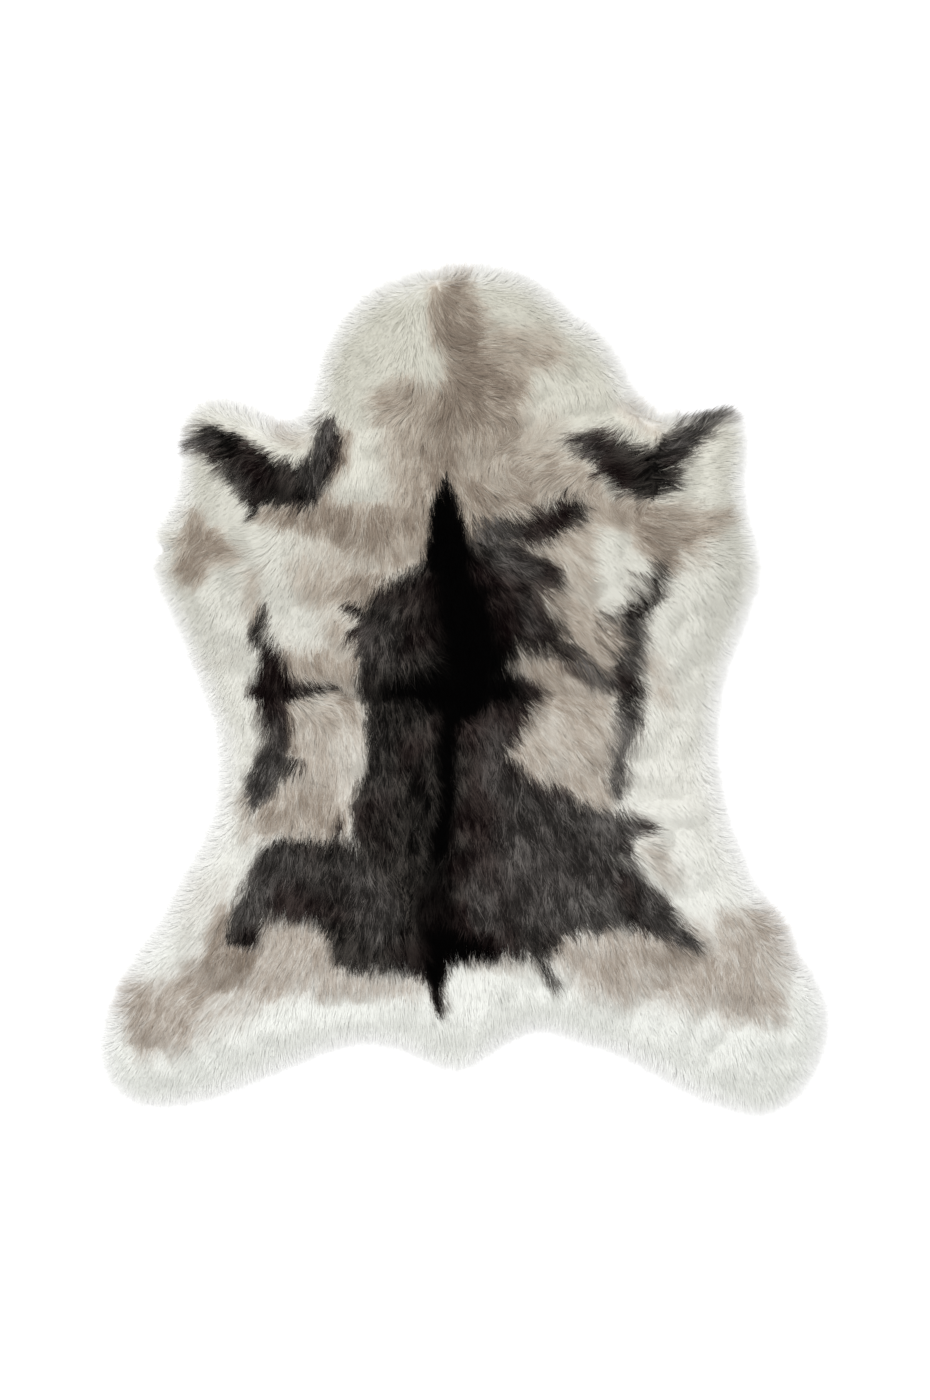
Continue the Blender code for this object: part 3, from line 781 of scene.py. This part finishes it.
# The near-white that the hair takes towards the rim is painted light.
PAINTED_RIM_WHITE = (0.925, 0.925, 0.915, 1)
BEIGES = (0.485, 0.430, 0.372, 1), (0.465, 0.408, 0.337, 1)
BROWNS = (0.125, 0.090, 0.064, 1), (0.31, 0.256, 0.204, 1)
SINGED = (0.24, 0.195, 0.155, 1)
DARKEST = (0.0024, 0.0022, 0.0020, 1), (0.0046, 0.0020, 0.0022, 1)
LIGHTEST = (0.090, 0.080, 0.071, 1), (0.070, 0.053, 0.048, 1)
FROSTED = (0.027, 0.0245, 0.0225, 1), (0.20, 0.187, 0.176, 1)
JET = (0.0006, 0.0005, 0.0005, 1)
HAIR_ROUGH, HAIR_GLOSS = 0.9, 0.02


def node_group(name, inputs):
    """An empty geometry group with these inputs, and a wire for each of them."""
    tree = bpy.data.node_groups.new(name, "GeometryNodeTree")
    tree.is_modifier = True
    for title, kind in inputs.items():
        tree.interface.new_socket(title, in_out="INPUT", socket_type="NodeSocket" + kind)
    tree.interface.new_socket("Geometry", in_out="OUTPUT", socket_type="NodeSocketGeometry")
    start = tree.nodes.new("NodeGroupInput")
    return tree, {title: Wire(start.outputs[title]) for title in inputs}


def grown(name, on, tree, inputs):
    """A plain mesh of what the group makes from this object with these inputs."""
    host = linked(name, on.data)
    growth = host.modifiers.new(name, "NODES")
    growth.node_group = tree
    for socket in tree.interface.items_tree:
        if socket.name in inputs:
            growth[socket.identifier] = inputs[socket.name]
    graph = bpy.context.evaluated_depsgraph_get()
    data = bpy.data.meshes.new_from_object(host.evaluated_get(graph))
    data.name = name
    bpy.data.objects.remove(host)
    return linked(name, data)


def coat_finish(name, tone_kept, strands):
    """The finish of the hair by the coat's chart, and of strands also by their own chances."""
    material, shader, place = new_material(name)

    def number(name, output=2):
        """A number that the mesh keeps under this name."""
        settings = {"attribute_type": "GEOMETRY", "attribute_name": name}
        return Wire.node(material.node_tree, "ShaderNodeAttribute", settings, {}, output)

    def vector(name):
        """A vector that the mesh keeps under this name."""
        return number(name, 1)

    def ramp(value, low, high, kind="SMOOTHSTEP"):
        """From 0 where the value is low to 1 where it is high."""
        limits = {"Value": value, "From Min": low, "From Max": high}
        settings = {"interpolation_type": kind}
        return Wire.node(material.node_tree, "ShaderNodeMapRange", settings, limits)

    taupe, charcoal, black = parts(vector(tone_kept))
    # The white hair is painted paler towards its roots: painted light that offsets the shade deep
    # in the pile, standing for light that scatters through white hair. The undercoat gets a random
    # tone instead.
    if strands:
        first, second, _ = parts(vector("chance"))
        tuft, _, _ = parts(vector("tuft_chance"))
        streak = number("streak") * 0.75 + second * 0.2 + tuft * 0.2
        outer = number("along")
        painted_light_and_tone = 1.11 - ramp(outer, 0.0, 0.8) * 0.12
    else:
        first = streak = outer = clouds(place, 240, 3, 0.6)
        painted_light_and_tone = first * 0.1 + 0.96
    cloud = clouds(place, 26, 3) - 0.5

    wisp = ramp(streak + cloud * 0.4, -0.1, 1.2)
    stray = (first - 0.5) * 0.24 + (wisp - 0.5) * 0.5
    streak = ramp(streak + cloud * 1.1, 0.40, 1.15)
    up_the_hide = ramp(parts(place)[1], -HIDE_HALF, HIDE_HALF, "LINEAR")
    whites = {"Fac": up_the_hide}
    white = Wire.node(material.node_tree, "ShaderNodeValToRGB", {"stops": WHITES_SHADED_TO_NECK}, whites) * painted_light_and_tone
    # Towards the rim, and most towards the tips, the hair is painted nearly white: painted light
    # that stands for light through its thin tips and offsets the shade where it droops over the
    # edge.
    painted_rim_light = number("rim") * (outer * 0.35 + 0.8)
    white = mix(ramp(painted_rim_light, 0.36, 1.25), white, PAINTED_RIM_WHITE)

    # Taupe goes from white to beige over its first half, and from beige to brown over the rest.
    browned = taupe * (2 + stray * 4)
    coat = mix(browned, white, mix(up_the_hide, *BEIGES))
    coat = mix(browned - 1, coat, mix(wisp, *BROWNS))
    # At the rim the taupe and brown are painted nearly white as well: painted light.
    coat = mix(ramp(painted_rim_light, 0.6, 1.25) * 0.7, coat, PAINTED_RIM_WHITE)

    # Charcoal and black lie over them. Where black is below 0, the charcoal is frosted.
    warmth = ramp(clouds(place, 11, 2), 0.40, 0.62)
    sooty = mix(streak, mix(warmth, *DARKEST), mix(warmth, *LIGHTEST))
    grey = mix(ramp(0 - black, 0.0, 1.0), sooty, mix(streak, *FROSTED))
    grey = mix(ramp(black + stray * 0.7, 0.05, 0.95), grey, JET)
    dark = charcoal * 1.15 + ramp(charcoal, 0.0, 0.3) * (stray * 1.6) + ramp(black, 0.2, 0.6) * 0.3
    coat = mix(ramp(dark, 0.0, 0.6) * 0.5, coat, SINGED)
    coat = mix(ramp(dark, 0.22, 0.98), coat, grey)

    # A strand is shaded mostly by the way its pile faces, and only a little by its own sides.
    pile = None
    if strands:
        facing = Wire.node(material.node_tree, "ShaderNodeNewGeometry", {}, {}, "Normal")
        side = maths("SIGN", parts(facing)[2])
        pile = maths("NORMALIZE", facing * 0.15 + vector("up") * (side * 0.85))
    finished(shader, coat, HAIR_ROUGH, pile)
    shader.inputs["Specular IOR Level"].default_value = HAIR_GLOSS
    return material


def coat_tree():
    """Nodes that grow the long hair out of the undercoat, in tufts, as tapered blades."""
    inputs = {"Undercoat": "Geometry", "Seed": "Int", "Finish": "Material"}
    inputs.update({name: "Float" for name in (*COAT, "Back", "Front")})
    tree, size = node_group("winter_coat", inputs)

    def geometry(kind, sockets, **settings):
        """A geometry node with these sockets and settings."""
        return Wire.node(tree, "GeometryNode" + kind, settings, sockets)

    def number(name, kind="FLOAT"):
        """A number that the points keep under this name."""
        return geometry("InputNamedAttribute", {"Name": name}, data_type=kind)

    def vector(name):
        """A vector that the points keep under this name."""
        return number(name, "FLOAT_VECTOR")

    def store(shape, name, value, kind="FLOAT", domain="POINT"):
        """The shape with this value kept under this name."""
        values = {"Geometry": shape, "Name": name, "Value": value}
        return geometry("StoreNamedAttribute", values, data_type=kind, domain=domain)

    def store_vector(shape, name, value):
        return store(shape, name, value, "FLOAT_VECTOR")

    def chance(salt):
        """A number from 0 to 1 for each point, another one for each salt."""
        seed = {"Seed": size["Seed"] + salt}
        return Wire.node(tree, "FunctionNodeRandomValue", {}, seed, 1)

    def scattered(apart, salt):
        """Points on the upper side of the undercoat, at least this far apart."""
        values = {
            "Mesh": size["Undercoat"], "Selection": number("upper"), "Distance Min": apart,
            "Density Max": CROWDED / (apart * apart), "Seed": size["Seed"] + salt,
        }
        return geometry("DistributePointsOnFaces", values, distribute_method="POISSON")

    def near(value, place, kind="FLOAT_VECTOR"):
        """What the undercoat has at its nearest spot to this place."""
        values = {"Mesh": size["Undercoat"], "Value": value, "Sample Position": place}
        return geometry("SampleNearestSurface", values, data_type=kind)

    def near_number(name, place):
        return near(number(name), place, "FLOAT")

    def tapered(along):
        """How wide a blade is here along it, from its root at 0 to its tip at 1."""
        return ROOT_WIDE + along - along * along * (1 + ROOT_WIDE)

    def coloured(tone):
        """How far the coat is taupe or dark here, 0 where it is white."""
        plain, dark, _ = parts(tone)
        return maths("MAXIMUM", plain, dark)

    position, normal = geometry("InputPosition", {}), geometry("InputNormal", {})
    rim, across, run = number("rim"), number("across"), number("along")
    pelt, way, length = vector("pelt"), vector("way"), number("long")

    # The tufts, then the roots of the hairs in this band, each drawn to its nearest tuft.
    tufts = scattered(size["Tuft Apart"], 1)
    tufts = store_vector(tufts, "tuft_chance", joined(chance(2), chance(12), chance(13)))
    roots = scattered(size["Hair Apart"], 3)
    along_the_hide = parts(position)[1]
    below = maths("LESS_THAN", along_the_hide, size["Back"])
    above = maths("GREATER_THAN", along_the_hide, size["Front"])
    others = {"Geometry": roots, "Selection": below + above}
    roots = geometry("DeleteGeometry", others, domain="POINT")
    tuft = geometry("SampleNearest", {"Geometry": tufts, "Sample Position": position})

    def of_tuft(value):
        """What the nearest tuft has."""
        values = {"Geometry": tufts, "Value": value, "Index": tuft}
        return geometry("SampleIndex", values, data_type="FLOAT_VECTOR")

    tuft_place = of_tuft(position)
    roots = store_vector(roots, "tuft_chance", of_tuft(vector("tuft_chance")))
    tuft_first, tuft_second, tuft_third = parts(vector("tuft_chance"))
    roots = store_vector(roots, "to_tuft", tuft_place - position)
    roots = store_vector(roots, "root", position)
    roots = store_vector(roots, "chance", joined(chance(4), chance(5), chance(6)))
    roots = store(roots, "rim", near_number("rim", tuft_place))

    # Which way each hair goes, which way is up for it, and how long it is.
    swing = (tuft_third - 0.5) * 0.30 + (chance(7) - 0.5) * 0.36
    swing = swing * (coloured(near(pelt, position)) * 0.5 + 0.5)
    turn = {"Vector": near(vector("lie"), tuft_place), "Angle": swing}
    turned = Wire.node(tree, "ShaderNodeVectorRotate", {"rotation_type": "Z_AXIS"}, turn)
    roots = store_vector(roots, "way", turned)
    upright = joined(0, 0, 0.5 + rim * 1.15)
    roots = store_vector(roots, "up", maths("NORMALIZE", near(normal, position) + upright))
    uneven = 0.80 + chance(8) * (0.3 + rim * 0.2) + tuft_first * 0.04
    long = size["Hair Long"] * (uneven - rim * 0.4)
    tip = position + way * (long * 0.8)
    worn = near_number("worn", position) * 0.5 + near_number("worn", tip) * 0.5
    roots = store(roots, "long", long * (1 - worn * 0.9))

    # A hair has the tone that the chart has part of the way along it, where it comes to light.
    # The streaks are a noise that is smeared along the hair.
    shown = position + way * (length * (0.23 + chance(9) * 0.44))
    roots = store_vector(roots, "tone", near(pelt, shown))
    smeared = 0
    for step in (-2, -1, 0, 1, 2):
        place = (position + way * (step * STREAK_STEP)) * (1.0, 1.0, 0.0)
        grain = {"Vector": place, "Scale": STREAK_SCALE, "Detail": 1}
        level = {"noise_dimensions": "2D"}
        smeared = smeared + Wire.node(tree, "ShaderNodeTexNoise", level, grain)
    roots = store(roots, "streak", (smeared * 0.2 - 0.5) * 4.5 + 0.5)
    roots = store(roots, "number", geometry("InputIndex", {}))

    # One flat blade, a unit long, on every root.
    grid = {"Size X": 1, "Size Y": 1, "Vertices X": 2, "Vertices Y": 3}
    sideways, lengthways, _ = parts(position)
    blade = store(geometry("MeshGrid", grid), "across", sideways * 2)
    blade = store(blade, "along", lengthways + 0.5)
    shape = {"Geometry": blade, "Position": joined(across * tapered(run), run)}
    blade = geometry("SetPosition", shape)
    blade = geometry("MergeByDistance", {"Geometry": blade, "Distance": BLADE_WELD})
    hairs = geometry("InstanceOnPoints", {"Points": roots, "Instance": blade})
    hairs = geometry("RealizeInstances", {"Geometry": hairs})

    # Each blade is bent along its own spine: out along the hide, up off it, towards the middle
    # of its tuft and a little to one side. Coloured hair is more uneven than white hair.
    first, second, third = parts(vector("chance"))
    up, showing = vector("up"), coloured(vector("tone"))
    side = maths("CROSS_PRODUCT", up, way)
    reach = length * (run * 0.72 + run * run * 0.25)
    raised = 0.80 + second * (0.06 + showing * 0.24)
    lift = size["Loft"] * raised * (run * 2.3 - run * run * 1.6)
    gather = size["Gather"] * run * (0.12 + showing * 0.88) * (1 - rim * 0.95)
    wave = (tuft_second - 0.5) * (0.2 + showing * 0.4) + (third - 0.5) * 0.16
    bow = length * run * run * wave
    spine = vector("root") + way * reach + up * lift + vector("to_tuft") * gather + side * bow
    roll = (first - 0.5) * 0.9
    wide = size["Hair Wide"] * 0.5 * across * tapered(run)
    spine = spine + side * (wide * maths("COSINE", roll)) + up * (wide * maths("SINE", roll))
    x, y, high = parts(spine)
    droop = rim * rim * run * run
    high = maths("MAXIMUM", high * (1 - droop * 0.8), HAIR_LEAST_HIGH)
    hairs = geometry("SetPosition", {"Geometry": hairs, "Position": joined(x, y, high)})

    # Every hair has a cell of its own in the map of the surface.
    count = geometry("AttributeDomainSize", {"Geometry": roots}, component="POINTCLOUD")
    cells = maths("CEIL", maths("SQRT", count))
    own = number("number")
    row = maths("FLOOR", (own + 0.5) / cells)
    column = own - row * cells
    cell = joined((column + 0.5 + across * 0.3) / cells, (row + 0.15 + run * 0.7) / cells)
    hairs = store(hairs, "OFBake", cell, "FLOAT2", "CORNER")
    hairs = geometry("SetShadeSmooth", {"Geometry": hairs})
    hairs = geometry("SetMaterial", {"Geometry": hairs, "Material": size["Finish"]})
    finish = tree.nodes.new("NodeGroupOutput")
    tree.links.new(hairs.socket, finish.inputs["Geometry"])
    return tree


hair_finish = coat_finish("winter_hair", "tone", True)
hair_nodes = coat_tree()
for band in BANDS:
    ends = {"Back": band.back * MM, "Front": band.front * MM}
    inputs = {**COAT, **ends, "Seed": SEED, "Finish": hair_finish}
    piece = grown(band.name, undercoat, hair_nodes, inputs)
    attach(piece, "root")

undercoat.data.materials.append(coat_finish("underfur", "pelt", False))
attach(undercoat, "root")
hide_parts("hide")

# The studio: a pale floor and broad soft light from above.
FLOOR_HALF = 9
FLOOR_COLOURS = (0.93, 0.93, 0.93, 1), (0.95, 0.95, 0.95, 1)
FLOOR_ROUGH = 0.9
SKY_COLOUR, SKY_STRENGTH = (1, 1, 1, 1), 0.88
KEY_PLACE, KEY_WIDE, KEY_POWER = (-0.5, 0.6, 4.2), 4.0, 118

corners = [(x * FLOOR_HALF, y * FLOOR_HALF, 0) for x, y in ((-1, -1), (1, -1), (1, 1), (-1, 1))]
studio_floor = bpy.data.meshes.new("floor")
studio_floor.from_pydata(corners, [], [(0, 1, 2, 3)])
floor = linked("floor", studio_floor)
paint, shader, place = new_material("floor_paint")
finished(shader, mix(clouds(place, 3, 2), *FLOOR_COLOURS), FLOOR_ROUGH)
floor.data.materials.append(paint)

world = bpy.data.worlds.new("studio")
world.use_nodes = True
sky = world.node_tree.nodes["Background"]
sky.inputs["Color"].default_value = SKY_COLOUR
sky.inputs["Strength"].default_value = SKY_STRENGTH
bpy.context.scene.world = world

key = bpy.data.lights.new("key", "AREA")
key.shape = "SQUARE"
key.size = KEY_WIDE
key.energy = KEY_POWER
key_box = linked("key", key)
key_box.location = KEY_PLACE
key_box.rotation_euler = (-Vector(KEY_PLACE)).to_track_quat("-Z", "Y").to_euler()
bpy.context.scene.view_settings.view_transform = "Standard"
